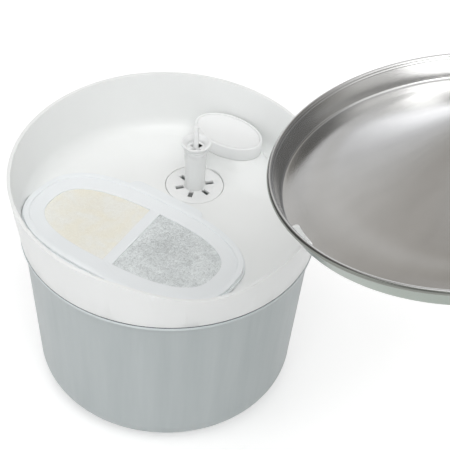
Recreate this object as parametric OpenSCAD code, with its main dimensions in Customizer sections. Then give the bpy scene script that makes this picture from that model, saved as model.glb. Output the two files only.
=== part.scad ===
// Pet water fountain: a tapered reservoir, a white collar tray with a filter cassette,
// a riser tube fed by a small submersible pump, and a lifted-off steel drinking plate.
// Origin: centre of the foot ring on the surface. +Z up, the front is -Y.

/* [Reservoir] */
// Height of the seam between reservoir and tray
seam_z = 115; // [100:1:135]
// Outer radius of the reservoir under its lip
mouth_r = 88.2; // [84:0.1:92]
// Outer radius at the top of the bottom corner
lower_r = 80.6; // [76:0.1:84]
// Radius of the bottom corner
corner_r = 20; // [12:1:26]
// Reservoir wall
tub_wall = 2.2; // [1.6:0.1:3]
// Height of the lip band
lip_h = 4; // [3:0.5:6]
// How far the lip stands out
lip_out = 0.9; // [0.5:0.1:1.2]
// Mean radius of the foot ring
foot_mean_r = 57; // [50:0.5:57.5]
// Width of the foot ring
foot_w = 6; // [4:0.5:8]
// Height of the base above the surface
foot_stand = 1.5; // [1:0.1:3]
// Depth of the groove that holds the foot ring
foot_groove = 1; // [0.6:0.1:1.2]

/* [Tray] */
// Outer radius of the collar at the seam
collar_r = 90; // [89.5:0.1:94]
// Outward flare of the collar, radius per height
flare = 0.158; // [0.1:0.002:0.2]
// Collar wall
collar_wall = 2.2; // [1.8:0.1:3]
// Height of the rim above the seam, at the middle
rim_h = 38.7; // [34:0.1:44]
// Tilt of the rim, in degrees
rim_tilt = 3.2; // [0:0.1:4]
// Azimuth of the rim's high side
rim_high_az = 99; // [80:1:110]
// Depth of the drinking dip
dip_depth = 11.4; // [6:0.1:14]
// Half width of the drinking dip
dip_half_w = 64; // [50:1:70]
// Azimuth of the drinking dip
dip_az = -70; // [-85:1:-60]
// Height of the tray floor above the seam
floor_h = 4.5; // [4:0.1:6]
// Floor thickness
floor_t = 2.4; // [2:0.1:3]
// Cove between floor and wall
cove_r = 11; // [6:0.5:14]
// Depth of the skirt inside the reservoir
skirt_h = 8; // [6:0.5:12]
// Skirt wall
skirt_wall = 1.8; // [1.4:0.1:2.4]
// Clearance between skirt and reservoir
skirt_gap = 0.5; // [0.3:0.1:0.8]

/* [Riser] */
// Riser axis, X
riser_x = 14.3; // [12:0.1:17]
// Riser axis, Y
riser_y = 32.8; // [31:0.1:34]
// Radius of the slotted well disc
disc_r = 18; // [16:0.1:18.4]
// Thickness of the well disc
disc_t = 2; // [1.6:0.1:3]
// Gap round the well disc
disc_gap = 0.4; // [0.3:0.05:0.6]
// Width of the ledge under the well disc
disc_ledge = 1.6; // [1.2:0.1:2]
// Thickness of the ledge under the well disc
disc_seat = 1.6; // [1.2:0.1:2.4]
// Length of a slot in the disc
slot_len = 5.2; // [4:0.1:6.5]
// Width of a slot in the disc
slot_w = 3; // [2:0.1:3.4]
// Tube radius at the foot of the visible part
tube_low_r = 6.2; // [5.9:0.05:6.6]
// Tube radius under the cup
tube_top_r = 7; // [6.8:0.05:7.4]
// Tube wall
tube_wall = 1.3; // [1:0.05:1.5]
// Height of the tube above the tray floor
tube_h = 25.5; // [22:0.1:30]
// Radius of the cup's rim
cup_r = 9.2; // [8.8:0.1:9.6]
// Height of the cup
cup_h = 8.5; // [7:0.1:10]
// Cup wall
cup_wall = 1.2; // [1:0.1:1.5]
// Depth of the cup inside
cup_deep = 4.4; // [3.6:0.1:6]
// How far the two ribs under the rim stand out
rib_out = 0.4; // [0.2:0.1:0.6]
// Radius of the central pin
pin_r = 1.6; // [1.2:0.1:2]
// Height of the pin above the cup's rim
pin_h = 12; // [8:0.5:14]

/* [Boss] */
// Azimuth of the boss centre
boss_dir = 62.95; // [60:0.05:66]
// Distance from the collar's inner radius in to the boss centre
boss_back = 14.14; // [13.8:0.02:15]
// Boss long half axis
boss_a = 24; // [22:0.1:24.5]
// Boss short half axis
boss_b = 15.5; // [14:0.1:15.8]
// Angle of the boss's long axis
boss_az = -33.8; // [-38:0.1:-30]
// Height of the boss top above the tray floor
boss_h = 18; // [16:0.5:20]
// Height of the boss cap
cap_h = 8.4; // [7:0.1:9]
// Cap wall
cap_wall = 1.6; // [1.2:0.1:2]
// Height of the lip on the cap
cap_lip = 0.8; // [0.5:0.1:1.2]
// Clearance of the cap on its upstand
cap_gap = 0.3; // [0.2:0.05:0.5]
// Least reach of the mound round the boss
mound_reach = 3; // [2:0.5:4]
// Further reach of the mound on its open side
mound_flow = 36; // [20:1:44]
// Azimuth of the mound's open side
mound_az = -55; // [-80:1:-50]

/* [Filter cassette] */
// Cassette centre, X
cas_x = -20.5; // [-21:0.1:-20]
// Cassette centre, Y
cas_y = -22.8; // [-24:0.1:-22]
// Angle of the cassette's long axis
cas_az = -32.9; // [-34:0.1:-31]
// Flange long half axis
cas_a = 72.8; // [70.6:0.1:73.2]
// Flange short half axis
cas_b = 40.4; // [38.6:0.1:41.6]
// Flange thickness
cas_flange_t = 2.4; // [2:0.1:3]
// Margin from the flange edge to the body
cas_margin = 7.1; // [6.1:0.1:8]
// Depth of the body below the tray floor
cas_depth = 20; // [14:1:28]
// Body wall
cas_wall = 1.6; // [1.2:0.1:2]
// Clearance between cassette and pocket
cas_gap = 0.5; // [0.3:0.1:0.8]
// Clearance round the flange
flange_gap = 0.4; // [0.3:0.1:1]
// Thickness of the cover
cover_t = 2.1; // [1.8:0.1:2.6]
// Long half axis of the windows' outline
win_a = 59.2; // [57:0.1:60]
// Short half axis of the windows' outline
win_b = 26.4; // [25:0.1:27.5]
// Turn of the windows against the flange
win_turn = 1.5; // [0:0.1:2]
// Width of the cross-bar
bar_w = 7.1; // [6:0.1:8]
// Turn of the cross-bar against the short axis
bar_turn = 5.2; // [0:0.1:6]
// Place of the cross-bar along the long axis
bar_x = 0; // [-4:0.5:4]
// Thickness of a non-woven pad
pad_t = 2; // [1.5:0.1:2.5]
// Length of the finger tab
tab_len = 55; // [40:1:58]
// Place of the finger tab along the long axis
tab_x = -5.5; // [-8:0.5:0]
// How far the finger tab stands out
tab_out = 6.1; // [4:0.1:6.3]
// Thickness of the finger tab
tab_t = 1.6; // [1.2:0.1:2.2]
// Corner radius of the finger tab
tab_r = 7; // [4:0.5:9]

/* [Drinking plate] */
// Outer radius of the rolled rim
plate_r = 93.5; // [92:0.1:95]
// Depth from the rim's top to the floor's edge
plate_depth = 11.4; // [10:0.1:14]
// How far the plate's wall slopes in
plate_slope = 6.3; // [5:0.1:9]
// Sheet thickness
sheet_t = 0.5; // [0.4:0.05:0.7]
// Radius of the rolled bead
bead_r = 1.3; // [1:0.05:1.5]
// Height of the dome above its floor's edge
dome_h = 16; // [12:0.5:20]
// Radius of the hole at the dome's top
dome_hole_r = 10.6; // [10.4:0.1:11.4]
// Lifted-off place of the plate, X
plate_x = 144.4; // [140:0.1:150]
// Lifted-off place of the plate, Y
plate_y = -162.5; // [-170:0.1:-155]
// Height of the plate's rim above the seam
plate_z = 191.4; // [180:0.1:200]
// Tilt of the plate as it is held
plate_tilt = 10; // [0:0.1:12]
// Azimuth of the plate's high side
plate_high_az = -24.3; // [-30:0.1:-15]
// Azimuth of the drain slot in the plate
drain_az = 202; // [195:1:215]
// Half angle of the drain slot, without its round ends
drain_half_az = 7; // [4:0.5:8]
// Width of the drain slot
drain_w = 4.6; // [3:0.1:6]

/* [Pump] */
// Width of the pump housing
pump_w = 40; // [38:0.5:44]
// Height of the pump housing
pump_h = 36; // [34:0.5:40]
// Length of the pump housing
pump_len = 40; // [38:0.5:44]
// Edge radius of the housing
pump_edge = 5; // [3:0.5:6]
// Radius of the impeller chamber
chamber_r = 13; // [12.5:0.1:14]
// Depth of the impeller chamber
chamber_d = 12; // [11:0.5:13]
// Radius of the rotor's magnet
magnet_r = 7; // [6.5:0.1:7.2]
// Length of the magnet
magnet_len = 17; // [15:0.5:18]
// Gap round the magnet
magnet_gap = 0.6; // [0.5:0.05:0.8]
// Radius of the impeller
impeller_r = 11.4; // [10:0.1:11.8]
// Number of impeller vanes
vane_count = 6; // [4:1:8]
// Radius of the ceramic shaft
shaft_r = 1; // [0.8:0.05:1.2]
// Running clearance on the shaft
shaft_gap = 0.05; // [0.03:0.01:0.08]
// Outer radius of the outlet spigot
spigot_r = 4.7; // [4.5:0.05:4.8]
// Outlet bore radius
outlet_r = 3.4; // [3:0.1:3.6]
// Length of the outlet spigot
spigot_h = 12; // [10:0.5:14]
// Depth of the inlet grille
grille_d = 12; // [10:0.5:14]
// Wall of the inlet grille
grille_wall = 1.6; // [1.4:0.1:2]
// Height of a suction cup
sucker_h = 5; // [4:0.5:6]
// Radius of a suction cup
sucker_r = 6; // [5:0.5:7]
// Radius of the cord that the glands are made for
cord_r = 2.3; // [2:0.1:2.6]

/* [Hidden] */
$fn = 96;
tub_floor_z = foot_stand + tub_wall;
floor_z = seam_z + floor_h;
lip_top = seam_z - 0.3;
tub_taper = (mouth_r - lower_r) / (lip_top - foot_stand - corner_r);
skirt_r = mouth_r - tub_wall - skirt_gap - tub_taper * (skirt_h + 1);
collar_top = rim_h + 12;
inner_r = collar_r - collar_wall;
blunt = 2.7;
spout_z = tub_floor_z + sucker_h + pump_h;
pump_front_y = riser_y + chamber_d / 2;
pump_axis_z = tub_floor_z + sucker_h + pump_h / 2;
boss_top_z = floor_z + boss_h;
shoulder_z = boss_top_z - cap_h;
tube_top_z = floor_z + tube_h;
cup_top_z = tube_top_z + cup_h;
cas_top_z = floor_z + cas_flange_t;
cas_low_z = floor_z - cas_depth;
grid_t = 2;
loft_steps = 64;
boss_x = (inner_r - boss_back) * cos(boss_dir);
boss_y = (inner_r - boss_back) * sin(boss_dir);
beyond = 3 * collar_r;

// ---- helpers -------------------------------------------------------------

// Blunt oval, between an ellipse and a rectangle
function blunt_point(a, b, n, t) =
    [a * sign(cos(t)) * pow(abs(cos(t)), 2 / n), b * sign(sin(t)) * pow(abs(sin(t)), 2 / n)];

module blunt_oval(a, b, n, steps = 72) {
    polygon([for (i = [0 : steps - 1]) blunt_point(a, b, n, 360 * (i + 0.5) / steps)]);
}

// Points of an arc from angle a0 to a1
function arc(cx, cy, r, a0, a1, steps) =
    [for (i = [0 : steps]) [cx + r * cos(a0 + (a1 - a0) * i / steps),
        cy + r * sin(a0 + (a1 - a0) * i / steps)]];

module at_boss() {
    translate([boss_x, boss_y, 0]) rotate(boss_az) children();
}

module at_cassette() {
    translate([cas_x, cas_y, 0]) rotate(cas_az) children();
}

module at_riser() {
    translate([riser_x, riser_y, 0]) children();
}

module at_pump() {
    translate([riser_x, pump_front_y, pump_axis_z]) rotate([90, 0, 0]) children();
}

module at_plate() {
    translate([plate_x, plate_y, seam_z + plate_z])
        rotate(plate_high_az) rotate([0, -plate_tilt, 0]) rotate(-plate_high_az) children();
}

// ---- reservoir -----------------------------------------------------------

// Outline of the reservoir, drawn in by an inset
module tub_outline(inset, top) {
    base_r = lower_r - corner_r;
    corner_z = foot_stand + corner_r;
    polygon(concat([[0, foot_stand + inset]],
        arc(base_r, corner_z, corner_r - inset, -90, 0, 12),
        [[mouth_r - inset, top], [0, top]]));
}

module reservoir() {
    color([0.70, 0.74, 0.75, 0.8]) difference() {
        union() {
            rotate_extrude() tub_outline(0, lip_top);
            translate([0, 0, lip_top - lip_h]) cylinder(r = mouth_r + lip_out, h = lip_h);
        }
        rotate_extrude() tub_outline(tub_wall, lip_top + 1);
        translate([0, 0, foot_stand - 1]) foot_band(foot_groove + 1);
    }
}

module foot_band(h) {
    difference() {
        cylinder(r = foot_mean_r + foot_w / 2, h = h);
        translate([0, 0, -1]) cylinder(r = foot_mean_r - foot_w / 2, h = h + 2);
    }
}

module foot_ring() {
    color([0.25, 0.26, 0.27]) foot_band(foot_stand + foot_groove);
}

// ---- collar tray ---------------------------------------------------------

// Section through wall, cove, floor and skirt
module collar_section() {
    top_out = collar_r + flare * collar_top;
    top_in = inner_r + flare * collar_top;
    cove_c = inner_r + flare * (floor_h + cove_r) - cove_r;
    polygon(concat([[collar_r, seam_z], [top_out, seam_z + collar_top],
        [top_in, seam_z + collar_top]],
        arc(cove_c, floor_z + cove_r, cove_r, 0, -90, 8),
        [[0, floor_z], [0, floor_z - floor_t], [skirt_r - skirt_wall, floor_z - floor_t],
        [skirt_r - skirt_wall, seam_z - skirt_h], [skirt_r, seam_z - skirt_h],
        [skirt_r, seam_z]]));
}

// What lies above the tilted rim
module above_rim() {
    rotate(rim_high_az) translate([0, 0, seam_z + rim_h]) rotate([0, -rim_tilt, 0])
        translate([-2 * collar_r, -2 * collar_r, 0]) cube([4 * collar_r, 4 * collar_r, 60]);
}

// Smooth dip in the front of the rim
module drinking_dip() {
    steps = 32;
    dip_tilt = tan(rim_tilt) * cos(dip_az - rim_high_az) * collar_r;
    rotate(dip_az) translate([collar_r * 0.35, 0, seam_z + rim_h + dip_tilt])
        rotate([90, 0, 90]) linear_extrude(height = collar_r)
            polygon(concat([for (i = [0 : steps]) let (x = -1 + 2 * i / steps)
                [dip_half_w * x, -dip_depth * (1 + cos(180 * x)) / 2 + 0.01]],
                [[dip_half_w, 20], [-dip_half_w, 20]]));
}

// Soft mound that carries the boss and runs out over the floor on its open side
function mound_ring(t, i, steps) =
    let (a = 360 * i / steps, rim = blunt_point(boss_a, boss_b, 2, a),
        open = pow(max(0, cos(a + boss_az - mound_az)), 3),
        out = (mound_reach + mound_flow * open) * pow(t, 2), len = norm(rim))
    [rim[0] * (1 + out / len), rim[1] * (1 + out / len), floor_z - 1 + (shoulder_z - floor_z + 1) * (1 - t)];

module boss_mound() {
    steps = 48;
    levels = 6;
    intersection() {
        at_boss() polyhedron(
            points = concat([for (k = [0 : levels], i = [0 : steps - 1])
                mound_ring(sqrt(k / levels), i, steps)]),
            faces = concat([[for (i = [steps - 1 : -1 : 0]) i]],
                [[for (i = [0 : steps - 1]) levels * steps + i]],
                [for (k = [0 : levels - 1], i = [0 : steps - 1]) let (j = (i + 1) % steps)
                    each [[k * steps + i, k * steps + j, (k + 1) * steps + i],
                        [k * steps + j, (k + 1) * steps + j, (k + 1) * steps + i]]]));
        cylinder(r = inner_r + 1, h = 300);
    }
}

module collar_tray() {
    color([0.93, 0.94, 0.94]) difference() {
        union() {
            rotate_extrude() collar_section();
            boss_mound();
            at_riser() translate([0, 0, floor_z - disc_t - disc_seat])
                cylinder(r = disc_r + disc_gap + 2, h = disc_t + disc_seat - 0.5);
            at_boss() translate([0, 0, floor_z - 1]) linear_extrude(shoulder_z - floor_z + 1)
                blunt_oval(boss_a, boss_b, 2);
            at_boss() translate([0, 0, floor_z]) linear_extrude(boss_h - cap_wall - cap_gap)
                blunt_oval(boss_a - cap_wall - cap_gap, boss_b - cap_wall - cap_gap, 2);
        }
        above_rim();
        drinking_dip();
        cassette_space();
        well_space();
        boss_chamber();
        at_gland() translate([0, 0, -gland_start]) cylinder(r = gland_r, h = gland_start + beyond);
    }
}

// Pocket for the cassette, open through the floor
module cassette_space() {
    at_cassette() translate([0, 0, floor_z - 20]) linear_extrude(40)
        blunt_oval(cas_a - cas_margin + cas_gap, cas_b - cas_margin + cas_gap, blunt);
    at_cassette() translate([0, 0, floor_z]) linear_extrude(30)
        blunt_oval(cas_a + flange_gap, cas_b + flange_gap, blunt);
}

// Seat of the slotted disc and the way down to the pump
module well_space() {
    at_riser() translate([0, 0, floor_z - disc_t]) cylinder(r = disc_r + disc_gap, h = disc_t + 8);
    at_riser() translate([0, 0, floor_z - 10]) cylinder(r = disc_r - disc_ledge, h = 12);
}

// Space for the cord's slack, open to the reservoir
module boss_chamber() {
    at_boss() translate([0, 0, floor_z + 1]) linear_extrude(boss_h)
        blunt_oval(boss_a - 6, boss_b - 5, 2);
    at_boss() translate([0, 0, floor_z - 10]) cylinder(r = 6, h = 14);
}

gland_r = 4.6;
gland_flange = 2;
gland_grip = 5;
gland_up = 4.3;
gland_z = floor_z + gland_up;
gland_start = 12;

// The cord leaves through the back of the collar, behind the boss
module at_gland() {
    rotate(boss_dir) translate([inner_r + flare * (floor_h + gland_up), 0, gland_z])
        rotate([0, 90, 0]) children();
}

module cord_gland() {
    color([0.85, 0.86, 0.86]) at_gland() difference() {
        union() {
            translate([0, 0, -gland_grip]) cylinder(r = gland_r, h = gland_grip + 4);
            translate([0, 0, 3]) cylinder(r = gland_r + 1.6, h = gland_flange);
        }
        translate([0, 0, -gland_grip - 1]) cylinder(r = cord_r, h = gland_grip + gland_flange + 6);
    }
}

module boss_cap() {
    color([0.95, 0.96, 0.96]) at_boss() difference() {
        translate([0, 0, shoulder_z]) linear_extrude(cap_h + cap_lip) blunt_oval(boss_a, boss_b, 2);
        translate([0, 0, shoulder_z - 1]) linear_extrude(cap_h - cap_wall + 1)
            blunt_oval(boss_a - cap_wall, boss_b - cap_wall, 2);
        translate([0, 0, boss_top_z]) linear_extrude(10)
            blunt_oval(boss_a - cap_wall, boss_b - cap_wall, 2);
    }
}

// ---- filter cassette -----------------------------------------------------

module cassette_prism(z, h, inset) {
    at_cassette() translate([0, 0, z]) linear_extrude(h)
        blunt_oval(cas_a - inset, cas_b - inset, blunt);
}

module cassette_tub() {
    body = cas_margin;
    color([0.94, 0.96, 0.98]) difference() {
        union() {
            cassette_prism(floor_z, cas_flange_t, 0);
            cassette_prism(cas_low_z, cas_depth + 1, body);
            at_cassette() translate([tab_x, cas_b + tab_out - tab_len / 4, floor_z])
                rounded_block(tab_len, tab_len / 2, tab_t, tab_r);
        }
        cassette_prism(cas_low_z + grid_t, cas_depth + 20, body + cas_wall);
        cassette_prism(cas_low_z - 1, 10, body + cas_wall + 2);
    }
    color([0.94, 0.96, 0.98]) at_cassette()
        translate([bar_x - cas_wall / 2, -cas_b + body + 1, cas_low_z + grid_t + 2.2])
            cube([cas_wall, 2 * (cas_b - body - 1), cas_depth - 4.2]);
}

module cassette_grid() {
    inset = cas_margin + cas_wall + 0.2;
    pitch = 6;
    color([0.90, 0.92, 0.94]) difference() {
        cassette_prism(cas_low_z + grid_t, grid_t, inset);
        intersection() {
            cassette_prism(cas_low_z, 10, inset + 3);
            at_cassette() for (i = [-10 : 10])
                translate([i * pitch - 1.7, -30, cas_low_z]) cube([3.4, 60, 10]);
        }
    }
}

module cassette_cover() {
    color([0.95, 0.97, 0.99]) difference() {
        union() {
            cassette_prism(cas_top_z, cover_t - 0.8, 0.8);
            difference() {
                cassette_prism(cas_top_z, cover_t, 0.8);
                cassette_prism(cas_top_z - 1, cover_t + 2, 4.4);
            }
        }
        window(-1);
        window(1);
    }
}

// One of the two windows, at the left (-1) or the right (1) of the cross-bar
module window(side) {
    intersection() {
        at_cassette() rotate(win_turn) translate([0, 0, cas_top_z - 5]) linear_extrude(15)
            blunt_oval(win_a, win_b, blunt);
        at_cassette() translate([bar_x, 0, cas_top_z - 6]) rotate(bar_turn)
            translate([side > 0 ? bar_w / 2 : -bar_w / 2 - beyond, -beyond / 2, 0])
                cube([beyond, beyond, 20]);
    }
}

// Half of the cassette's inside, at the left or the right of the divider
module half_fill(side, z, h) {
    gap = cas_wall / 2 + 0.3;
    intersection() {
        cassette_prism(z, h, cas_margin + cas_wall + 0.4);
        at_cassette() translate([side > 0 ? bar_x + gap : bar_x - gap - beyond, -beyond / 2, z - 1])
            cube([beyond, beyond, h + 2]);
    }
}

module resin_pad() {
    color([0.88, 0.86, 0.81]) half_fill(-1, cas_top_z - pad_t, pad_t);
}

module carbon_pad() {
    color([0.78, 0.79, 0.80]) half_fill(1, cas_top_z - pad_t, pad_t);
}

bed_h = cas_depth + cas_flange_t - pad_t - 2 * grid_t - 0.4;

module resin_bed() {
    color([0.80, 0.68, 0.42]) half_fill(-1, cas_low_z + 2 * grid_t + 0.2, bed_h);
}

module carbon_bed() {
    color([0.12, 0.12, 0.13]) half_fill(1, cas_low_z + 2 * grid_t + 0.2, bed_h);
}

// ---- riser ---------------------------------------------------------------

module well_disc() {
    color([0.95, 0.96, 0.96]) at_riser() difference() {
        translate([0, 0, floor_z - disc_t]) cylinder(r = disc_r, h = disc_t);
        translate([0, 0, floor_z - disc_t - 1]) cylinder(r = tube_low_r, h = disc_t + 2);
        for (i = [0 : 5]) rotate(18 + 60 * i)
            translate([tube_low_r + 0.8 + slot_len / 2, 0, floor_z - disc_t / 2])
                cube([slot_len, slot_w, disc_t + 2], center = true);
    }
}

module riser_tube() {
    low = spout_z + 1;
    color([0.93, 0.94, 0.94]) at_riser() difference() {
        union() {
            translate([0, 0, low]) cylinder(r = tube_low_r, h = floor_z - low);
            translate([0, 0, floor_z]) cylinder(r1 = tube_low_r, r2 = tube_top_r - 0.3, h = tube_h);
            translate([0, 0, tube_top_z - 4.5]) cylinder(r = tube_top_r, h = 4.5);
        }
        translate([0, 0, low - 1]) cylinder(r = tube_low_r - tube_wall, h = tube_h + floor_z - low + 3);
    }
}

module outlet_cup() {
    neck = tube_low_r - tube_wall - 0.1;
    color([0.95, 0.95, 0.95]) at_riser() {
        difference() {
            union() {
                translate([0, 0, tube_top_z]) cylinder(r = tube_top_r, h = cup_h - 2);
                translate([0, 0, cup_top_z - 3.2]) cylinder(r1 = tube_top_r, r2 = cup_r, h = 2.2);
                translate([0, 0, cup_top_z - 1.05]) cylinder(r = cup_r, h = 1.05);
                for (down = [4.9, 6.7]) translate([0, 0, cup_top_z - down])
                    cylinder(r = tube_top_r + rib_out, h = 0.8);
                translate([0, 0, tube_top_z - 5]) cylinder(r = neck, h = 6);
            }
            translate([0, 0, cup_top_z - cup_deep]) cylinder(r = tube_top_r - cup_wall, h = cup_deep);
            translate([0, 0, cup_top_z - 2.6])
                cylinder(r1 = tube_top_r - cup_wall - 0.1, r2 = cup_r - cup_wall + 0.2, h = 2.7);
            for (i = [0 : 3]) rotate(45 + 90 * i)
                translate([1.9, -1.3, tube_top_z - 6]) cube([2.4, 2.6, 12]);
        }
        translate([0, 0, tube_top_z + 1]) cylinder(r = pin_r, h = cup_h + pin_h - 1);
    }
}

// ---- drinking plate ------------------------------------------------------

// Section of the sheet, from the hole's edge to the rolled rim and back below.
// Each station is [share of the offset to the riser, radius, height].
plate_floor_r = plate_r - plate_slope;
dome_steps = 8;
rim_in_r = plate_r - 2 * bead_r;
function dome_z(t) = -plate_depth + dome_h * pow(1 - t, 1.6);
function dome_station(t, down) =
    [1 - t, dome_hole_r + (plate_floor_r - dome_hole_r) * t, dome_z(t) - down];
function plate_section() = concat(
    [for (i = [0 : dome_steps]) dome_station(i / dome_steps, 0)],
    [[0, rim_in_r, -bead_r]],
    [for (i = [0 : 6]) [0, plate_r - bead_r + bead_r * cos(180 - 30 * i), -bead_r + bead_r * sin(180 - 30 * i)]],
    [[0, plate_r - bead_r, -2 * bead_r]],
    [[0, rim_in_r + sheet_t, -2 * bead_r - 0.4]],
    [for (i = [dome_steps : -1 : 0]) dome_station(i / dome_steps, sheet_t)]);

module plate_shell() {
    section = plate_section();
    n = len(section);
    polyhedron(
        points = [for (j = [0 : loft_steps - 1]) let (a = 360 * j / loft_steps) for (s = section)
            [s[0] * riser_x + s[1] * cos(a), s[0] * riser_y + s[1] * sin(a), s[2]]],
        faces = [for (j = [0 : loft_steps - 1]) let (k = (j + 1) % loft_steps)
            for (i = [0 : n - 1]) let (m = (i + 1) % n)
                each [[j * n + i, k * n + i, k * n + m], [j * n + i, k * n + m, j * n + m]]],
        convexity = 6);
}

module drinking_plate() {
    color([0.66, 0.66, 0.65]) at_plate() difference() {
        plate_shell();
        rotate(drain_az) translate([0, 0, -plate_depth - 3]) linear_extrude(5) drain_outline();
    }
}

// Curved slot with round ends, just inside the floor's edge
module drain_outline() {
    half = drain_w / 2;
    mid = plate_floor_r - half - 0.3;
    a = drain_half_az;
    polygon(concat(arc(0, 0, mid + half, -a, a, 8),
        arc(mid * cos(a), mid * sin(a), half, a + 20, a + 160, 6),
        arc(0, 0, mid - half, a, -a, 8),
        arc(mid * cos(a), -mid * sin(a), half, 200 - a, 340 - a, 6)));
}

module plate_grommet() {
    hole_z = dome_z(0);
    bore = cup_r + 0.3;
    color([0.9, 0.9, 0.9]) at_plate() translate([riser_x, riser_y, hole_z]) difference() {
        union() {
            translate([0, 0, -2.4]) cylinder(r = dome_hole_r - 0.1, h = 3.4);
            translate([0, 0, 0.2]) cylinder(r = dome_hole_r + 1.6, h = 0.8);
            translate([0, 0, -2.4]) cylinder(r = dome_hole_r + 1, h = 0.8);
        }
        translate([0, 0, -4]) cylinder(r = bore, h = 8);
    }
}

// ---- pump ----------------------------------------------------------------
// The pump's own axis is local Z, running forward from its inlet side, which is at zero.

module rounded_block(w, h, d, r) {
    linear_extrude(d) rounded_rect(w, h, r);
}

module rounded_rect(w, h, r) {
    polygon(concat(arc(w / 2 - r, h / 2 - r, r, 0, 90, 6), arc(-w / 2 + r, h / 2 - r, r, 90, 180, 6),
        arc(-w / 2 + r, -h / 2 + r, r, 180, 270, 6), arc(w / 2 - r, -h / 2 + r, r, 270, 360, 6)));
}

rotor_bore = magnet_r + magnet_gap;
rotor_depth = chamber_d + magnet_len + 2;
stator_z = chamber_d + 3;
stator_len = 14;
core_w = 24;
core_h = 26;
core_top = 10;

module pump_housing() {
    color([0.16, 0.17, 0.18]) {
        difference() {
            union() {
                at_pump() rounded_block(pump_w, pump_h, pump_len, pump_edge);
                at_riser() translate([0, 0, spout_z - 4]) cylinder(r = spigot_r, h = spigot_h + 4);
            }
            at_pump() translate([0, 0, -1]) cylinder(r = chamber_r, h = chamber_d + 1);
            at_pump() cylinder(r = rotor_bore, h = rotor_depth);
            at_pump() cylinder(r = bush_r, h = rotor_depth + bush_t);
            at_riser() translate([0, 0, pump_axis_z + 6]) cylinder(r = outlet_r, h = 60);
            at_pump() stator_shape(0.2);
            at_pump() translate([0, 0, pump_len - 4]) cylinder(r = 5, h = 6);
        }
    }
}

// U-shaped laminated core round the rotor bore, with the coil's leg below
module stator_shape(grow) {
    translate([0, 0, stator_z - grow]) linear_extrude(stator_len + 2 * grow) difference() {
        translate([-core_w / 2 - grow, -core_h + core_top - grow])
            square([core_w + 2 * grow, core_h + 2 * grow]);
        circle(r = rotor_bore + 1.2 - grow);
    }
}

module stator_core() {
    color([0.45, 0.45, 0.47]) at_pump() stator_shape(0);
}

bush_r = 2.6;
bush_t = 2.5;
shaft_front = -3;

module bush(z) {
    translate([0, 0, z]) difference() {
        cylinder(r = bush_r - 0.05, h = bush_t);
        translate([0, 0, -1]) cylinder(r = shaft_r, h = bush_t + 2);
    }
}

module shaft_bushes() {
    color([0.2, 0.2, 0.2]) at_pump() {
        bush(rotor_depth);
        bush(shaft_front);
    }
}

module impeller_shaft() {
    color([0.9, 0.9, 0.86]) at_pump() translate([0, 0, shaft_front])
        cylinder(r = shaft_r, h = rotor_depth + bush_t - shaft_front);
}

module rotor_magnet() {
    color([0.3, 0.3, 0.32]) at_pump() difference() {
        translate([0, 0, chamber_d]) cylinder(r = magnet_r, h = magnet_len);
        translate([0, 0, chamber_d - 1]) cylinder(r = shaft_r + shaft_gap, h = magnet_len + 2);
    }
}

module impeller() {
    vane_z = 2;
    color([0.85, 0.86, 0.88]) at_pump() difference() {
        union() {
            translate([0, 0, vane_z]) cylinder(r = 3.2, h = chamber_d - vane_z);
            translate([0, 0, chamber_d - 2]) cylinder(r = impeller_r, h = 1);
            for (i = [0 : vane_count - 1]) rotate(360 * i / vane_count)
                translate([0, -0.6, vane_z + 1]) cube([impeller_r - 0.2, 1.2, chamber_d - vane_z - 2]);
        }
        translate([0, 0, -1]) cylinder(r = shaft_r + shaft_gap, h = chamber_d + 2);
    }
}

module chamber_cover() {
    color([0.18, 0.19, 0.20]) at_pump() difference() {
        union() {
            translate([0, 0, -1.8]) rounded_block(pump_w, pump_h, 1.8, pump_edge);
            translate([0, 0, -1.8]) difference() {
                cylinder(r = chamber_r - 0.3, h = 2.8);
                cylinder(r = chamber_r - 1.8, h = 3);
            }
            translate([0, 0, -3.4]) cylinder(r = 4.2, h = 3.4);
        }
        translate([0, 0, shaft_front]) cylinder(r = bush_r, h = bush_t);
        translate([0, 0, -1]) cylinder(r = shaft_r + 0.4, h = 3);
        for (i = [0 : 3]) rotate(45 + 90 * i) translate([7, 0, -4]) cylinder(r = 2.2, h = 6);
    }
}

grille_back = -1.9;
grille_front = grille_back - grille_d;
regulator_r = 8;

module inlet_grille() {
    slot_pitch = (pump_w / 2 - grille_wall - pump_edge / 2 - regulator_r - 1) / 3;
    color([0.16, 0.17, 0.18]) at_pump() difference() {
        translate([0, 0, grille_front]) rounded_block(pump_w, pump_h, grille_d, pump_edge);
        translate([0, 0, grille_front + grille_wall])
            rounded_block(pump_w - 2 * grille_wall, pump_h - 2 * grille_wall, grille_d, pump_edge - grille_wall);
        translate([0, 0, grille_front - 1]) cylinder(r = 1.7, h = 4);
        for (s = [-1, 1], i = [0 : 2])
            translate([s * (regulator_r + 1.5 + (i + 0.5) * slot_pitch) - slot_pitch * 0.28,
                -pump_h * 0.3, grille_front - 1])
                    cube([slot_pitch * 0.56, pump_h * 0.6, grille_wall + 2]);
        for (a = [40 : 50 : 140]) rotate(a + 180) translate([5.4, 0, grille_front - 1]) cylinder(r = 1.5, h = 4);
    }
}

module inlet_sponge() {
    color([0.35, 0.36, 0.38]) at_pump() difference() {
        translate([0, 0, grille_front + grille_wall + 0.4])
            rounded_block(pump_w - 2 * grille_wall - 0.8, pump_h - 2 * grille_wall - 0.8, grille_d / 2, 3);
        translate([0, 0, grille_front]) cylinder(r = 4.6, h = 20);
    }
}

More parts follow.
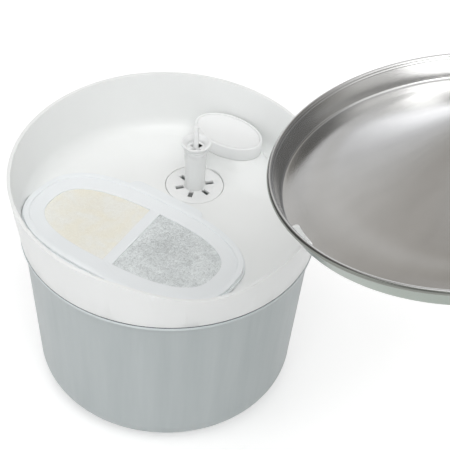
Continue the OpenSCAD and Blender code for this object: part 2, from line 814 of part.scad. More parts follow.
module flow_regulator() {
    color([0.7, 0.72, 0.74]) at_pump() {
        difference() {
            union() {
                translate([0, 0, grille_front - 2.1]) cylinder(r = regulator_r, h = 2);
                translate([-regulator_r + 1, -1, grille_front - 4.1]) cube([2 * regulator_r - 2, 2, 2.2]);
            }
            for (a = [40 : 50 : 140]) rotate(a + 180) translate([5.4, 0, grille_front - 5]) cylinder(r = 1.5, h = 6);
        }
        translate([0, 0, grille_front - 1]) cylinder(r = 1.65, h = 3.4);
        translate([0, 0, grille_front + grille_wall + 0.1]) cylinder(r = 2.6, h = 0.9);
    }
}

module suction_cups() {
    color([0.75, 0.78, 0.80]) for (sx = [-1, 1], sy = [0, 1])
        translate([riser_x + sx * (pump_w / 2 - sucker_r - 1),
            pump_front_y - sucker_r - 2 - sy * (pump_len - 2 * sucker_r - 4), tub_floor_z]) rotate_extrude()
                polygon([[0, sucker_h * 0.32], [sucker_r * 0.73, 0], [sucker_r, 0],
                    [sucker_r * 0.43, sucker_h * 0.6], [sucker_r * 0.43, sucker_h], [0, sucker_h]]);
}

module pump_gland() {
    color([0.15, 0.15, 0.16]) at_pump() difference() {
        translate([0, 0, pump_len - 4]) cylinder(r = 5, h = 10);
        translate([0, 0, pump_len - 2]) cylinder(r = cord_r, h = 12);
    }
}

reservoir();
foot_ring();
collar_tray();
boss_cap();
cord_gland();
cassette_tub();
cassette_grid();
cassette_cover();
resin_pad();
carbon_pad();
resin_bed();
carbon_bed();
well_disc();
riser_tube();
outlet_cup();
drinking_plate();
plate_grommet();
pump_housing();
stator_core();
chamber_cover();
inlet_grille();
inlet_sponge();
flow_regulator();
impeller();
rotor_magnet();
impeller_shaft();
shaft_bushes();
suction_cups();
pump_gland();
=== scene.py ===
"""Looks of the pet water fountain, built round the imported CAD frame. Metres, the row's frame."""

import math

import bmesh
import bpy
import numpy as np
from mathutils import Matrix, Vector, noise


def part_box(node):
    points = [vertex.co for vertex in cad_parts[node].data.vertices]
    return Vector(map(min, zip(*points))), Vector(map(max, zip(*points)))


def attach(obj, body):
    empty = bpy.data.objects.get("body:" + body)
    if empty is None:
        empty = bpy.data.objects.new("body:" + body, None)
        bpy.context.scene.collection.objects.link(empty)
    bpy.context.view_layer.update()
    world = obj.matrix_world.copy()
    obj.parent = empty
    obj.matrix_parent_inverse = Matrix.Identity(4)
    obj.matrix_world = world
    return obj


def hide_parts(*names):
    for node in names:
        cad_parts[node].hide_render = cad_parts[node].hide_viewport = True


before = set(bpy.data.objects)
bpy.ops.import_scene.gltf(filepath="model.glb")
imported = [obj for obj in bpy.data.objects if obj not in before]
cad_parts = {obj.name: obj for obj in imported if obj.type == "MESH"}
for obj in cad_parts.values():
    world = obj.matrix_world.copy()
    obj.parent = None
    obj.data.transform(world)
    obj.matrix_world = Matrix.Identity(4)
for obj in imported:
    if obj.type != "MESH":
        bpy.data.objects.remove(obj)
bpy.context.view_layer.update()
MM = 0.001
SEAM_Z = 115.0
SEAM_R = 0.09
RISER = (14.3, 32.8)
CASSETTE = (-20.5, -22.8, -32.9)
CAS_A, CAS_B, CAS_N = 72.2, 39.8, 2.7
CAS_TOP = 121.9


def linked(name, data):
    """A new object in the scene's own collection."""
    made = bpy.data.objects.new(name, data)
    bpy.context.scene.collection.objects.link(made)
    return made


def split_edges(made, degrees):
    """Edges sharper than this stay sharp where the faces shade smooth."""
    split = made.modifiers.new("edges", "EDGE_SPLIT")
    split.split_angle = math.radians(degrees)


# ---- camera ----------------------------------------------------------------
def make_camera():
    """The camera of the photograph: 120 mm lens, 41 degrees down, a slight roll."""
    picture_px, sensor_mm = 450.0, 36.0
    focal_px, seam_r_px = 1500.0, 147.11
    seam_px = (168.18, 223.23)
    down, roll = math.radians(41.25), math.radians(3.25)
    away = focal_px / seam_r_px
    forward = np.array([0.0, math.cos(down), -math.sin(down)])
    right = np.array([1.0, 0.0, 0.0])
    up = np.array([0.0, math.sin(down), math.cos(down)])
    right2 = math.cos(roll) * right + math.sin(roll) * up
    up2 = -math.sin(roll) * right + math.cos(roll) * up
    x = (seam_px[0] - picture_px / 2) / focal_px * away
    y = -(seam_px[1] - picture_px / 2) / focal_px * away
    place = -(x * right2 + y * up2 + away * forward) * SEAM_R + np.array([0, 0, SEAM_Z * MM])
    data = bpy.data.cameras.new("camera")
    data.sensor_width = sensor_mm
    data.lens = focal_px / picture_px * sensor_mm
    data.clip_start, data.clip_end = 0.05, 20.0
    cam = linked("camera", data)
    turn = Matrix([[right2[i], up2[i], -forward[i]] for i in range(3)])
    cam.matrix_world = Matrix.Translation(Vector(place)) @ turn.to_4x4()
    bpy.context.scene.camera = cam


make_camera()


# ---- node helpers ----------------------------------------------------------
class Nodes:
    """A material's node tree, with short calls to add and join nodes."""

    def __init__(self, name):
        self.material = bpy.data.materials.new(name)
        self.material.use_nodes = True
        self.tree = self.material.node_tree
        self.shader = self.tree.nodes["Principled BSDF"]
        self.coords = self.add("ShaderNodeTexCoord")

    def add(self, kind, **values):
        made = self.tree.nodes.new(kind)
        for key, value in values.items():
            setattr(made, key, value)
        return made

    def join(self, out, into):
        self.tree.links.new(out, into)

    def set(self, **values):
        for key, value in values.items():
            self.shader.inputs[key.replace("_", " ")].default_value = value

    def stretched(self, scale, source="Object", turn=(0, 0, 0)):
        mapping = self.add("ShaderNodeMapping")
        mapping.inputs["Scale"].default_value = scale
        mapping.inputs["Rotation"].default_value = turn
        self.join(self.coords.outputs[source], mapping.inputs["Vector"])
        return mapping.outputs["Vector"]

    def noise(self, scale, detail=3.0, vector=None, rough=0.5, distortion=0.0):
        made = self.add("ShaderNodeTexNoise")
        made.inputs["Scale"].default_value = scale
        made.inputs["Detail"].default_value = detail
        made.inputs["Roughness"].default_value = rough
        made.inputs["Distortion"].default_value = distortion
        source = vector if vector is not None else self.coords.outputs["Object"]
        self.join(source, made.inputs["Vector"])
        return made.outputs["Fac"]

    def cells(self, scale):
        """Distance to the middle of the nearest cell."""
        made = self.add("ShaderNodeTexVoronoi")
        made.inputs["Scale"].default_value = scale
        self.join(self.coords.outputs["Object"], made.inputs["Vector"])
        return made.outputs["Distance"]

    def ramp(self, fac, *stops):
        made = self.add("ShaderNodeValToRGB")
        steps = made.color_ramp.elements
        while len(steps) < len(stops):
            steps.new(0.5)
        for step, (place, colour) in zip(steps, stops):
            step.position = place
            step.color = (*colour, 1.0)
        self.join(fac, made.inputs["Fac"])
        return made.outputs["Color"]

    def spread(self, fac, low, high):
        made = self.add("ShaderNodeMapRange")
        made.inputs["To Min"].default_value = low
        made.inputs["To Max"].default_value = high
        self.join(fac, made.inputs["Value"])
        return made.outputs["Result"]

    def bump(self, height, distance, strength=1.0, under=None):
        made = self.add("ShaderNodeBump")
        made.inputs["Distance"].default_value = distance
        made.inputs["Strength"].default_value = strength
        self.join(height, made.inputs["Height"])
        if under is not None:
            self.join(under, made.inputs["Normal"])
        return made.outputs["Normal"]

    def feed(self, socket, out):
        self.join(out, self.shader.inputs[socket])


def shade(colour, by):
    """The colour made lighter or darker."""
    return tuple(max(0.0, min(1.0, c * by)) for c in colour)


def plastic(name, colour, rough=0.35, grain=0.00002, fine=2600.0, vary=0.02, **more):
    """Moulded plastic: fine spark texture, a little uneven in colour and gloss."""
    n = Nodes(name)
    n.set(Roughness=rough, IOR=1.5, **more)
    darker, lighter = shade(colour, 1 - vary), shade(colour, 1 + vary)
    n.feed("Base Color", n.ramp(n.noise(14.0, 4.0), (0.3, darker), (0.7, lighter)))
    n.feed("Roughness", n.spread(n.noise(60.0, 3.0), rough - 0.05, rough + 0.06))
    fine_grain = n.noise(fine, 2.0)
    n.feed("Normal", n.bump(fine_grain, grain, 0.5, n.bump(n.noise(22.0, 2.0), 0.00015, 0.12)))
    return n.material


def rubber(name, colour, rough=0.75):
    """Matt rubber, a little cloudy."""
    n = Nodes(name)
    n.set(Roughness=rough, IOR=1.45)
    darker, lighter = shade(colour, 0.9), shade(colour, 1.1)
    n.feed("Base Color", n.ramp(n.noise(80.0, 5.0), (0.3, darker), (0.7, lighter)))
    n.feed("Normal", n.bump(n.noise(1500.0, 3.0), 0.00006, 0.6))
    return n.material


def frosted(name):
    """Frosted, lightly tinted plastic that lets some light through, with faint upright streaks."""
    n = Nodes(name)
    n.set(Roughness=0.42, IOR=1.46, Transmission_Weight=0.22)
    streaks = n.noise(1.0, 4.0, n.stretched((70.0, 70.0, 2.0)), 0.6)
    darker, lighter = (0.55, 0.605, 0.61), (0.63, 0.68, 0.685)
    n.feed("Base Color", n.ramp(streaks, (0.28, darker), (0.72, lighter)))
    n.feed("Roughness", n.spread(n.noise(40.0, 3.0), 0.36, 0.5))
    n.feed("Normal", n.bump(n.noise(1800.0, 2.0), 0.00004, 0.5, n.bump(streaks, 0.0004, 0.25)))
    return n.material


def steel(name, colour):
    """Spun sheet steel: fine lines run round, and the highlight spreads across them."""
    n = Nodes(name)
    n.set(Metallic=1.0, Roughness=0.2, Anisotropic=0.6)
    lines = n.noise(1.0, 4.0, n.stretched((5.0, 900.0, 1.0), "UV"), 0.75)
    broad = n.noise(1.0, 3.0, n.stretched((16.0, 5.0, 1.0), "UV"), 0.5)
    n.feed("Base Color", n.ramp(broad, (0.3, shade(colour, 0.94)), (0.7, shade(colour, 1.06))))
    n.feed("Roughness", n.spread(lines, 0.14, 0.26))
    n.feed("Normal", n.bump(lines, 0.00005, 0.35))
    tangent = n.add("ShaderNodeTangent", direction_type="UV_MAP", uv_map="spun")
    n.feed("Tangent", tangent.outputs["Tangent"])
    return n.material


def fleece(name, pale, dark, tint, middle, reach):
    """Non-woven pad: curled fibres in every direction, denser and darker round the middle."""
    n = Nodes(name)
    n.set(Roughness=0.95, Sheen_Weight=0.3, Sheen_Roughness=0.6)
    fibres = n.noise(620.0, 6.0, rough=0.62, distortion=1.6)
    clouds = n.noise(75.0, 3.0, rough=0.5, distortion=0.6)
    away = n.add("ShaderNodeVectorMath", operation="DISTANCE")
    n.join(n.coords.outputs["Object"], away.inputs[0])
    away.inputs[1].default_value = middle
    near = n.add("ShaderNodeMapRange")
    for key, value in (("From Min", 0.0), ("From Max", reach), ("To Min", 0.11), ("To Max", 0.0)):
        near.inputs[key].default_value = value
    n.join(away.outputs["Value"], near.inputs["Value"])
    lower = n.add("ShaderNodeMath", operation="SUBTRACT")
    n.join(fibres, lower.inputs[0])
    n.join(near.outputs["Result"], lower.inputs[1])
    colour = n.ramp(lower.outputs["Value"], (0.2, dark), (0.58, pale), (0.8, shade(pale, 1.05)))
    mixed = n.add("ShaderNodeMix", data_type="RGBA", blend_type="MULTIPLY")
    mixed.inputs["Factor"].default_value = 1.0
    n.join(colour, mixed.inputs["A"])
    n.join(n.ramp(clouds, (0.36, tint), (0.62, (1.0, 1.0, 1.0))), mixed.inputs["B"])
    n.feed("Base Color", mixed.outputs["Result"])
    n.feed("Normal", n.bump(fibres, 0.0003, 0.5, n.bump(n.noise(90.0, 3.0), 0.0008, 0.35)))
    return n.material


def grains(name, colour, spots, size):
    """A bed of beads or granules."""
    n = Nodes(name)
    n.set(Roughness=0.45)
    cells = n.cells(1.0 / size)
    n.feed("Base Color", n.ramp(cells, (0.1, colour), (0.9, spots)))
    n.feed("Normal", n.bump(cells, -size, 0.8))
    return n.material


def metal(name, colour, rough, scale=(400.0, 400.0, 40.0)):
    """Metal with fine lines: ground, sintered or laminated."""
    n = Nodes(name)
    n.set(Metallic=1.0, Roughness=rough)
    lines = n.noise(1.0, 4.0, n.stretched(scale), 0.6)
    n.feed("Base Color", n.ramp(lines, (0.3, shade(colour, 0.85)), (0.7, shade(colour, 1.1))))
    n.feed("Normal", n.bump(lines, 0.00008, 0.5))
    return n.material


def foam(name, colour):
    """Open-cell foam."""
    n = Nodes(name)
    n.set(Roughness=0.95, Sheen_Weight=0.2)
    cells = n.cells(900.0)
    n.feed("Base Color", n.ramp(cells, (0.15, shade(colour, 0.4)), (0.6, shade(colour, 1.2))))
    n.feed("Normal", n.bump(cells, 0.0008, 0.9))
    return n.material


SOFT = dict(Subsurface_Weight=0.3, Subsurface_Radius=(1.0, 1.0, 1.0), Subsurface_Scale=0.003)
SHELL = plastic("white shell", (0.855, 0.868, 0.862), 0.34, **SOFT)
CAP = plastic("white cap", (0.86, 0.87, 0.87), 0.3, **SOFT)
FILTER = plastic("white filter frame", (0.855, 0.885, 0.905), 0.3, **SOFT)
BLACK = plastic("black pump plastic", (0.025, 0.027, 0.03), 0.5, 0.00005, 1800.0, 0.1)
GREY = plastic("grey pump plastic", (0.42, 0.44, 0.46), 0.42)
MATERIALS = {
    "reservoir": frosted("frosted tub"),
    "foot_ring": rubber("grey rubber", (0.05, 0.052, 0.055)),
    "collar_tray": SHELL,
    "boss_cap": CAP,
    "cord_gland": rubber("pale rubber", (0.66, 0.67, 0.67), 0.6),
    "cassette_tub": FILTER,
    "cassette_grid": FILTER,
    "cassette_cover": FILTER,
    "resin_bed": grains("resin beads", (0.72, 0.5, 0.18), (0.35, 0.2, 0.05), 0.0012),
    "carbon_bed": grains("carbon grains", (0.03, 0.03, 0.032), (0.005, 0.005, 0.005), 0.0016),
    "well_disc": CAP,
    "riser_tube": SHELL,
    "outlet_cup": CAP,
    "plate_grommet": rubber("pale seal", (0.7, 0.7, 0.7), 0.55),
    "pump_housing": BLACK,
    "stator_core": metal("laminated core", (0.25, 0.25, 0.27), 0.5, (40.0, 2400.0, 40.0)),
    "chamber_cover": BLACK,
    "inlet_grille": BLACK,
    "flow_regulator": GREY,
    "impeller": GREY,
    "rotor_magnet": metal("ferrite", (0.08, 0.08, 0.09), 0.6),
    "impeller_shaft": plastic("ceramic shaft", (0.78, 0.77, 0.7), 0.18),
    "shaft_bushes": rubber("dark rubber", (0.03, 0.03, 0.032)),
    "suction_cups": rubber("clear rubber", (0.55, 0.58, 0.6), 0.35),
    "pump_gland": rubber("black rubber", (0.02, 0.02, 0.022)),
}


# Widths of the rounded edges. Those in WIDE keep the full width beside short edges too.
ROUNDED = {
    "collar_tray": 0.0006, "reservoir": 0.0008, "cassette_tub": 0.0005, "cassette_cover": 0.0004,
    "boss_cap": 0.0007, "riser_tube": 0.0003, "outlet_cup": 0.0003, "well_disc": 0.0003,
}
WIDE = ("reservoir", "boss_cap", "cassette_tub", "cassette_cover")


def dress(name, material):
    """A CAD node keeps its mesh: seams welded, broad faces smooth, edges catching light."""
    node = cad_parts[name]
    if not node.material_slots:
        node.data.materials.append(material)
    for held in node.material_slots:
        held.material = material
    for face in node.data.polygons:
        face.use_smooth = True
    weld = node.modifiers.new("weld", "WELD")
    weld.merge_threshold = 2e-6
    if name in ROUNDED:
        flat = node.modifiers.new("flat", "DECIMATE")
        flat.decimate_type, flat.angle_limit = "DISSOLVE", math.radians(0.6)
        bevel = node.modifiers.new("bevel", "BEVEL")
        bevel.width, bevel.segments = ROUNDED[name], 3
        bevel.limit_method, bevel.angle_limit = "ANGLE", math.radians(40)
        bevel.miter_outer = "MITER_ARC"
        bevel.use_clamp_overlap = name not in WIDE
    split_edges(node, 35)


for node_name, made in MATERIALS.items():
    dress(node_name, made)


# ---- mesh helpers ----------------------------------------------------------
def piece(name, verts, faces, material, body):
    """A smooth-shaded mesh piece that rides a body."""
    mesh = bpy.data.meshes.new(name)
    mesh.from_pydata(verts, [], faces)
    mesh.validate()
    tidy = bmesh.new()
    tidy.from_mesh(mesh)
    bmesh.ops.recalc_face_normals(tidy, faces=tidy.faces)
    tidy.to_mesh(mesh)
    tidy.free()
    for face in mesh.polygons:
        face.use_smooth = True
    made = linked(name, mesh)
    mesh.materials.append(material)
    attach(made, body)
    return made


def blunt(a, b, n, t):
    """Point at angle t on a superellipse of half axes a and b and exponent n."""
    c, s = math.cos(t), math.sin(t)
    return (a * math.copysign(abs(c) ** (2 / n), c), b * math.copysign(abs(s) ** (2 / n), s))


def in_cassette(x, y, z):
    """A point of the cassette's own plan, in the part's frame."""
    middle_x, middle_y, degrees = CASSETTE
    turn = math.radians(degrees)
    return ((middle_x + x * math.cos(turn) - y * math.sin(turn)) * MM,
            (middle_y + x * math.sin(turn) + y * math.cos(turn)) * MM, z * MM)


# ---- drinking plate --------------------------------------------------------
PLATE = dict(x=144.4, y=-162.5, z=SEAM_Z + 191.4, tilt=10.0, high=-24.3, r=93.5, depth=11.4,
             floor_r=87.2, sheet=0.5, bead=1.3, dome=16.0, hole=10.6, drain_az=202.0)
DOME_STEPS = 60
WALL_STEPS = 8
# Stations of the rolled bead's outer half, counted back from the underside of the floor: they
# carry the darkest steel, a painted dark outline.
DARK_OUTLINE_STATIONS = WALL_STEPS + 1
SECTION_MM = 190.0


def plate_matrix():
    """Where the plate is held: its place, leaning towards one side."""
    turn = Matrix.Rotation(math.radians(PLATE["high"]), 4, "Z")
    lean = Matrix.Rotation(math.radians(-PLATE["tilt"]), 4, "Y")
    back = Matrix.Rotation(math.radians(-PLATE["high"]), 4, "Z")
    place = Matrix.Translation((PLATE["x"] * MM, PLATE["y"] * MM, PLATE["z"] * MM))
    return place @ turn @ lean @ back


def plate_section():
    """Stations [share of the offset, radius, height]: hole, dome, wall, rolled rim and back."""
    p = PLATE
    swell, swell_from = 0.6, 0.72

    def dome(t):
        swollen = math.sin(math.pi * max(0.0, t - swell_from) / 0.28) ** 2
        return -p["depth"] + p["dome"] * (1 - t) ** 1.6 + swell * swollen

    top = [(1 - t, p["hole"] + (p["floor_r"] - p["hole"]) * t, dome(t))
           for t in (i / DOME_STEPS for i in range(DOME_STEPS))]
    rim_in = p["r"] - 2 * p["bead"]
    lean, upper_lean, bend, turn = math.radians(78), math.radians(30), 1.3, 1.2
    foot_r, foot_z = p["floor_r"] - 0.45, -p["depth"]
    wall = [(0, foot_r + bend * math.sin(a), foot_z + bend * (1 - math.cos(a)))
            for a in (lean * i / WALL_STEPS for i in range(WALL_STEPS + 1))]
    high_z = -p["bead"] - turn * (math.cos(upper_lean) - math.cos(lean))
    high_r = rim_in - turn * (math.sin(lean) - 0.5)
    wall += [(0, high_r + turn * (math.sin(lean) - math.sin(a)),
              high_z + turn * (math.cos(a) - math.cos(lean)))
             for a in (lean - (lean - upper_lean) * i / 5 for i in range(6))]
    bead = [(0, p["r"] - p["bead"] + p["bead"] * math.cos(a), -p["bead"] + p["bead"] * math.sin(a))
            for a in (math.radians(180 - 15 * i) for i in range(1, 17))]
    under = [(0, rim_in + p["sheet"], -2 * p["bead"] - 0.4)]
    outside = bend + p["sheet"]
    under += [(0, foot_r + outside * math.sin(a), foot_z + bend - outside * math.cos(a))
              for a in (lean - lean * i / WALL_STEPS for i in range(WALL_STEPS + 1))]
    back = [(s, r, z - p["sheet"]) for s, r, z in reversed(top)]
    return top + wall + bead + under + back


def make_plate():
    """The drinking plate: one spun sheet whose dome leans over the riser, with its drain slot. Its
    underside and the outer half of its bead take darker copies of the steel as painted shade.
    """
    section, rounds = plate_section(), 288
    verts, faces, uvs = [], [], []
    count = len(section)
    along = [0.0]
    for i in range(count):
        (_, r0, z0), (_, r1, z1) = section[i], section[(i + 1) % count]
        along.append(along[-1] + math.hypot(r1 - r0, z1 - z0) / SECTION_MM)
    for j in range(rounds):
        a = 2 * math.pi * j / rounds
        for s, r, z in section:
            verts.append(((s * RISER[0] + r * math.cos(a)) * MM,
                          (s * RISER[1] + r * math.sin(a)) * MM, z * MM))
    for j in range(rounds):
        k = (j + 1) % rounds
        for i in range(count):
            m = (i + 1) % count
            faces.append((j * count + i, k * count + i, k * count + m, j * count + m))
            u0, u1, v0, v1 = j / rounds, (j + 1) / rounds, along[i], along[i + 1]
            uvs.append(((u0, v0), (u1, v0), (u1, v1), (u0, v1)))
    mesh = bpy.data.meshes.new("steel_plate")
    mesh.from_pydata(verts, [], faces)
    layer = mesh.uv_layers.new(name="spun")
    for face, corners in zip(mesh.polygons, uvs):
        for loop, uv in zip(face.loop_indices, corners):
            layer.data[loop].uv = uv
        face.use_smooth = True
    plate = linked("steel_plate", mesh)
    plate.matrix_world = plate_matrix()
    mesh.materials.append(steel("spun steel", (0.585, 0.585, 0.58)))
    # Darker copies of the same steel: painted shade on the underside and outer wall, and a painted
    # dark outline on the outer half of the rolled bead.
    mesh.materials.append(steel("spun steel painted shade underneath", (0.32, 0.355, 0.325)))
    mesh.materials.append(steel("steel painted dark outline", (0.22, 0.23, 0.21)))
    below = count - DOME_STEPS - DARK_OUTLINE_STATIONS - 1
    # Faces from the bead's outer half round to the underside get the painted-shade copies of the
    # steel.
    for index, face in enumerate(mesh.polygons):
        station = index % count
        face.material_index = (1 if station >= below - 1
                               else 2 if station >= below - DARK_OUTLINE_STATIONS else 0)
    cutter = drain_cutter()
    cut = plate.modifiers.new("drain", "BOOLEAN")
    cut.object, cut.operation, cut.solver = cutter, "DIFFERENCE", "EXACT"
    bpy.context.view_layer.update()
    graph = bpy.context.evaluated_depsgraph_get()
    done = bpy.data.meshes.new_from_object(plate.evaluated_get(graph))
    plate.modifiers.clear()
    plate.data = done
    bpy.data.objects.remove(cutter)
    split_edges(plate, 40)
    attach(plate, "plate")
    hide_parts("drinking_plate")


def drain_cutter():
    """A slot with round ends that follows the plate's edge."""
    half, half_w, from_wall = math.radians(4.8), 1.7, 0.3
    low, high = -16.0, -8.0
    sides, ends = 12, 8
    middle = PLATE["floor_r"] - half_w - from_wall
    start = math.radians(PLATE["drain_az"] + 1.0)
    ring = []
    for sign, turned in ((1, 0.0), (-1, math.pi)):
        r = middle + sign * half_w
        for i in range(sides + 1):
            a = start - sign * half + sign * 2 * half * i / sides
            ring.append((r * math.cos(a), r * math.sin(a)))
        b = start + sign * half
        for i in range(1, ends):
            t = b + (turned + math.pi * i / ends)
            ring.append((middle * math.cos(b) + half_w * math.cos(t),
                         middle * math.sin(b) + half_w * math.sin(t)))
    n = len(ring)
    verts = [(x * MM, y * MM, z * MM) for z in (low, high) for x, y in ring]
    faces = [tuple(reversed(range(n))), tuple(range(n, 2 * n))]
    faces += [(i, (i + 1) % n, n + (i + 1) % n, n + i) for i in range(n)]
    mesh = bpy.data.meshes.new("drain cutter")
    mesh.from_pydata(verts, [], faces)
    made = linked("drain cutter", mesh)
    made.matrix_world = plate_matrix()
    return made


make_plate()


# ---- reservoir lip, and painted shadow in the seam -------------------------
def make_ring(name, section, material, rounds=240):
    """A ring turned round the fountain's axis from a closed section of [radius, height]."""
    verts, faces, count = [], [], len(section)
    for j in range(rounds):
        a = 2 * math.pi * j / rounds
        verts += [(r * math.cos(a) * MM, r * math.sin(a) * MM, z * MM) for r, z in section]
    for j in range(rounds):
        k = (j + 1) % rounds
        for i in range(count):
            m = (i + 1) % count
            faces.append((j * count + i, k * count + i, k * count + m, j * count + m))
    made = piece(name, verts, faces, material, "base")
    split_edges(made, 50)


LIP_TOP = SEAM_Z - 0.8
LIP_IN, GAP_SHADOW_OUT, LIP_GAP = 88.9, 89.8, 0.1
LIP = [(LIP_IN, LIP_TOP), (89.6, LIP_TOP), (90.0, LIP_TOP - 0.15), (90.2, LIP_TOP - 0.5),
       (90.2, LIP_TOP - 1.4), (90.0, LIP_TOP - 1.9), (89.0, LIP_TOP - 2.6)]
# A dark ring that fills the gap between the tub's lip and the collar: painted shadow of the seam,
# not a real seal.
GAP_SHADOW = [(LIP_IN, LIP_TOP - LIP_GAP), (GAP_SHADOW_OUT, LIP_TOP - LIP_GAP),
        (GAP_SHADOW_OUT, SEAM_Z - LIP_GAP), (LIP_IN, SEAM_Z - LIP_GAP)]
make_ring("tub_lip", LIP, plastic("frosted lip", (0.62, 0.67, 0.68), 0.3))
make_ring("painted_gap_shadow", GAP_SHADOW, rubber("painted gap shadow", (0.12, 0.135, 0.15)))


# ---- filter pads -----------------------------------------------------------
def make_pad(name, node, side, material):
    """One non-woven pad, slightly crowned in its window and held down round its edge."""
    margin, near, thick = 8.5, 1.15, 1.9
    rise, unevenness = 0.55, 0.22
    a, b = CAS_A - margin, CAS_B - margin
    rows, cols = 64, 48
    verts, faces = [], []
    for layer in (1, 0):
        for i in range(rows + 1):
            s = (i / rows) ** 0.85
            x = near + (a - near - 0.05) * s
            half = b * max(0.0, 1 - (x / a) ** CAS_N) ** (1 / CAS_N)
            for j in range(cols + 1):
                t = -math.cos(math.pi * j / cols)
                edge = min(1.0, (1 - abs(t)) * half / 5.0, (x - near) / 4.0 + 0.05, (a - x) / 5.0)
                crown = rise * (1 - (1 - max(0.0, edge)) ** 2)
                spot = Vector((x * 0.22, t * half * 0.22, side * 9.0))
                lump = unevenness * noise.noise(spot) * max(0.0, edge)
                z = CAS_TOP - 0.06 + (crown + lump if layer else -thick)
                verts.append(in_cassette(side * x, t * half, z))
    size = (rows + 1) * (cols + 1)
    for layer in (0, 1):
        for i in range(rows):
            for j in range(cols):
                q = layer * size + i * (cols + 1) + j
                faces.append((q, q + 1, q + cols + 2, q + cols + 1))
    for i in range(rows):
        for j in (0, cols):
            q = i * (cols + 1) + j
            faces.append((q, q + cols + 1, size + q + cols + 1, size + q))
    for j in range(cols):
        for i in (0, rows):
            q = i * (cols + 1) + j
            faces.append((q, q + 1, size + q + 1, size + q))
    pad = piece(name, verts, faces, material, "cassette")
    split_edges(pad, 50)
    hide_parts(node)


BEIGE = fleece("beige fleece", pale=(0.84, 0.84, 0.79), dark=(0.76, 0.745, 0.68),
               tint=(1.0, 0.975, 0.915), middle=(-0.045, 0.002, 0.122), reach=0.03)
CARBON = fleece("grey fleece", pale=(0.80, 0.835, 0.84), dark=(0.33, 0.35, 0.355),
                tint=(0.88, 0.885, 0.885), middle=(0.002, -0.029, 0.122), reach=0.022)
make_pad("beige_pad", "resin_pad", -1, BEIGE)
make_pad("grey_pad", "carbon_pad", 1, CARBON)


# ---- inlet sponge ----------------------------------------------------------
def make_sponge():
    """Open-cell foam block behind the grille, with uneven faces and the hole for the regulator."""
    low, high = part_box("inlet_sponge")
    clear, hole_r, edge_soft, unevenness = 0.0002, 0.0048, 0.0006, 0.00025
    cx, cz = (low.x + high.x) / 2, (low.z + high.z) / 2
    hx, hz = (high.x - low.x) / 2 - clear, (high.z - low.z) / 2 - clear
    rounds, rings = 96, 14
    verts, faces = [], []
    for y, sign in ((low.y + clear, -1), (high.y - clear, 1)):
        for k in range(rings + 1):
            s = k / rings
            for i in range(rounds):
                a = 2 * math.pi * i / rounds
                ox, oz = blunt(hx, hz, 7.0, a)
                out = math.atan2(oz, ox)
                ix, iz = hole_r * math.cos(out), hole_r * math.sin(out)
                x, z = ix + (ox - ix) * s, iz + (oz - iz) * s
                soft = edge_soft * abs(2 * s - 1) ** 8
                lump = unevenness * noise.noise(Vector((x * 500, z * 500, sign)))
                verts.append((cx + x, y - sign * (soft + abs(lump)), cz + z))
    size = (rings + 1) * rounds
    for side in (0, 1):
        for k in range(rings):
            for i in range(rounds):
                j = (i + 1) % rounds
                q = side * size + k * rounds
                faces.append((q + i, q + j, q + rounds + j, q + rounds + i))
    for k in (0, rings):
        for i in range(rounds):
            j = (i + 1) % rounds
            q = k * rounds
            faces.append((q + i, q + j, size + q + j, size + q + i))
    made = piece("foam_block", verts, faces, foam("open foam", (0.1, 0.105, 0.11)), "grille")
    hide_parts("inlet_sponge")


make_sponge()


# ---- stage and light -------------------------------------------------------
SKY, SOFT_BOX, FLOOR_GLOW = 1.8, 1.5, 0.42
# The sky's colour by the height of its direction: 0 is level, 1 is straight up.
SKY_LEVELS = (
    (0.0, (1.0, 1.0, 1.02)), (0.12, (0.95, 0.955, 0.98)), (0.19, (0.90, 0.905, 0.93)),
    (0.26, (0.62, 0.625, 0.645)), (0.34, (0.50, 0.50, 0.51)), (0.42, (0.46, 0.46, 0.46)),
    (0.52, (0.405, 0.40, 0.39)), (0.6, (0.32, 0.308, 0.29)), (0.7, (0.215, 0.198, 0.177)),
    (0.8, (0.40, 0.40, 0.40)), (0.9, (0.8, 0.8, 0.8)), (1.0, (1.0, 1.0, 1.0)),
)


def make_stage():
    """A pale floor that keeps the shadow, and glows a little where it is seen."""
    reach = 6
    mesh = bpy.data.meshes.new("floor")
    corners = [(-reach, -reach, 0), (reach, -reach, 0), (reach, reach, 0), (-reach, reach, 0)]
    mesh.from_pydata(corners, [], [(0, 1, 2, 3)])
    floor = linked("floor", mesh)
    n = Nodes("pale floor")
    n.set(Roughness=0.9, Base_Color=(0.8, 0.8, 0.8, 1.0), Emission_Color=(1, 1, 1, 1))
    n.feed("Roughness", n.spread(n.noise(3.0), 0.86, 0.94))
    rays = n.add("ShaderNodeLightPath")
    seen = rays.outputs["Is Camera Ray"]
    for other in ("Is Glossy Ray", "Is Transmission Ray"):
        both = n.add("ShaderNodeMath", operation="MAXIMUM")
        n.join(seen, both.inputs[0])
        n.join(rays.outputs[other], both.inputs[1])
        seen = both.outputs["Value"]
    n.feed("Emission Strength", n.spread(seen, 0.0, FLOOR_GLOW))
    mesh.materials.append(n.material)


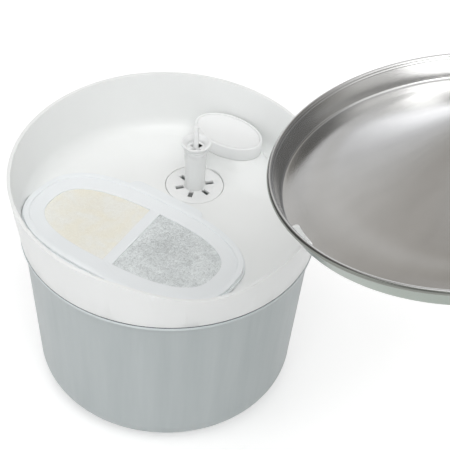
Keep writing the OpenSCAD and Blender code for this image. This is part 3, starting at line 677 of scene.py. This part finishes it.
def make_world():
    """A studio sky, darker behind the left and right of the part, with one soft box."""
    world = bpy.data.worlds.new("studio")
    bpy.context.scene.world = world
    world.use_nodes = True
    tree = world.node_tree
    tree.nodes.clear()
    add, join = tree.nodes.new, tree.links.new
    out, sky = add("ShaderNodeOutputWorld"), add("ShaderNodeBackground")
    coords, parts = add("ShaderNodeTexCoord"), add("ShaderNodeSeparateXYZ")
    ramp = add("ShaderNodeValToRGB")
    join(coords.outputs["Generated"], parts.inputs["Vector"])
    join(parts.outputs["Z"], ramp.inputs["Fac"])
    steps = ramp.color_ramp.elements
    while len(steps) < len(SKY_LEVELS):
        steps.new(0.5)
    for step, (place, level) in zip(steps, SKY_LEVELS):
        step.position, step.color = place, (*level, 1)

    def step_of(source, low, high, at_low, at_high):
        """A value that goes from one level to another along one axis of the direction."""
        made = add("ShaderNodeMapRange")
        for key, value in (("From Min", low), ("From Max", high),
                           ("To Min", at_low), ("To Max", at_high)):
            made.inputs[key].default_value = value
        join(parts.outputs[source], made.inputs["Value"])
        return made.outputs["Result"]

    def times(one, other):
        made = add("ShaderNodeMath")
        made.operation = "MULTIPLY"
        join(one, made.inputs[0])
        join(other, made.inputs[1])
        return made.outputs["Value"]

    def less(source):
        """One less the source: a card that takes light away."""
        made = add("ShaderNodeMath")
        made.operation = "SUBTRACT"
        made.inputs[0].default_value = 1.0
        join(source, made.inputs[1])
        return made.outputs["Value"]

    behind = step_of("Y", 0.0, 0.2, 0.0, 1.0)
    left_card = less(times(step_of("X", -0.39, -0.31, 0.85, 0.0), behind))
    right_card = less(times(step_of("X", 0.13, 0.33, 0.0, 0.65), behind))
    low_right = less(times(step_of("X", 0.05, 0.6, 0.0, 0.4), step_of("Z", 0.3, 0.5, 1.0, 0.0)))
    front = step_of("Y", -0.6, 0.2, 0.55, 1.0)
    level = times(times(times(left_card, right_card), low_right), front)
    strength = add("ShaderNodeMath")
    strength.operation = "MULTIPLY"
    strength.inputs[1].default_value = SKY
    join(level, strength.inputs[0])
    join(strength.outputs["Value"], sky.inputs["Strength"])
    join(ramp.outputs["Color"], sky.inputs["Color"])
    box, both = add("ShaderNodeBackground"), add("ShaderNodeMixShader")
    box.inputs["Color"].default_value = (1.0, 0.995, 0.985, 1.0)
    box.inputs["Strength"].default_value = SOFT_BOX
    across = times(step_of("X", -0.2, -0.02, 0.0, 1.0), step_of("Y", -0.2, -0.05, 1.0, 0.0))
    upward = times(step_of("Z", 0.58, 0.7, 0.0, 1.0), step_of("Z", 0.84, 0.92, 1.0, 0.0))
    join(times(across, upward), both.inputs["Fac"])
    join(sky.outputs["Background"], both.inputs[1])
    join(box.outputs["Background"], both.inputs[2])
    join(both.outputs["Shader"], out.inputs["Surface"])


def lamp(name, place, aim, size, watts):
    """A round area lamp that points at the aim."""
    data = bpy.data.lights.new(name, "AREA")
    data.shape, data.size, data.energy = "DISK", size, watts
    made = linked(name, data)
    made.location = place
    made.rotation_mode = "QUATERNION"
    made.rotation_quaternion = (Vector(aim) - Vector(place)).to_track_quat("-Z", "Y")


make_stage()
make_world()
lamp("key", (0.15, -1.0, 1.55), (0.05, -0.05, 0.15), 1.0, 8.8)
lamp("fill", (-1.2, -0.7, 1.0), (0, 0, 0.1), 0.9, 1.8)
bpy.context.scene.view_settings.view_transform = "Standard"
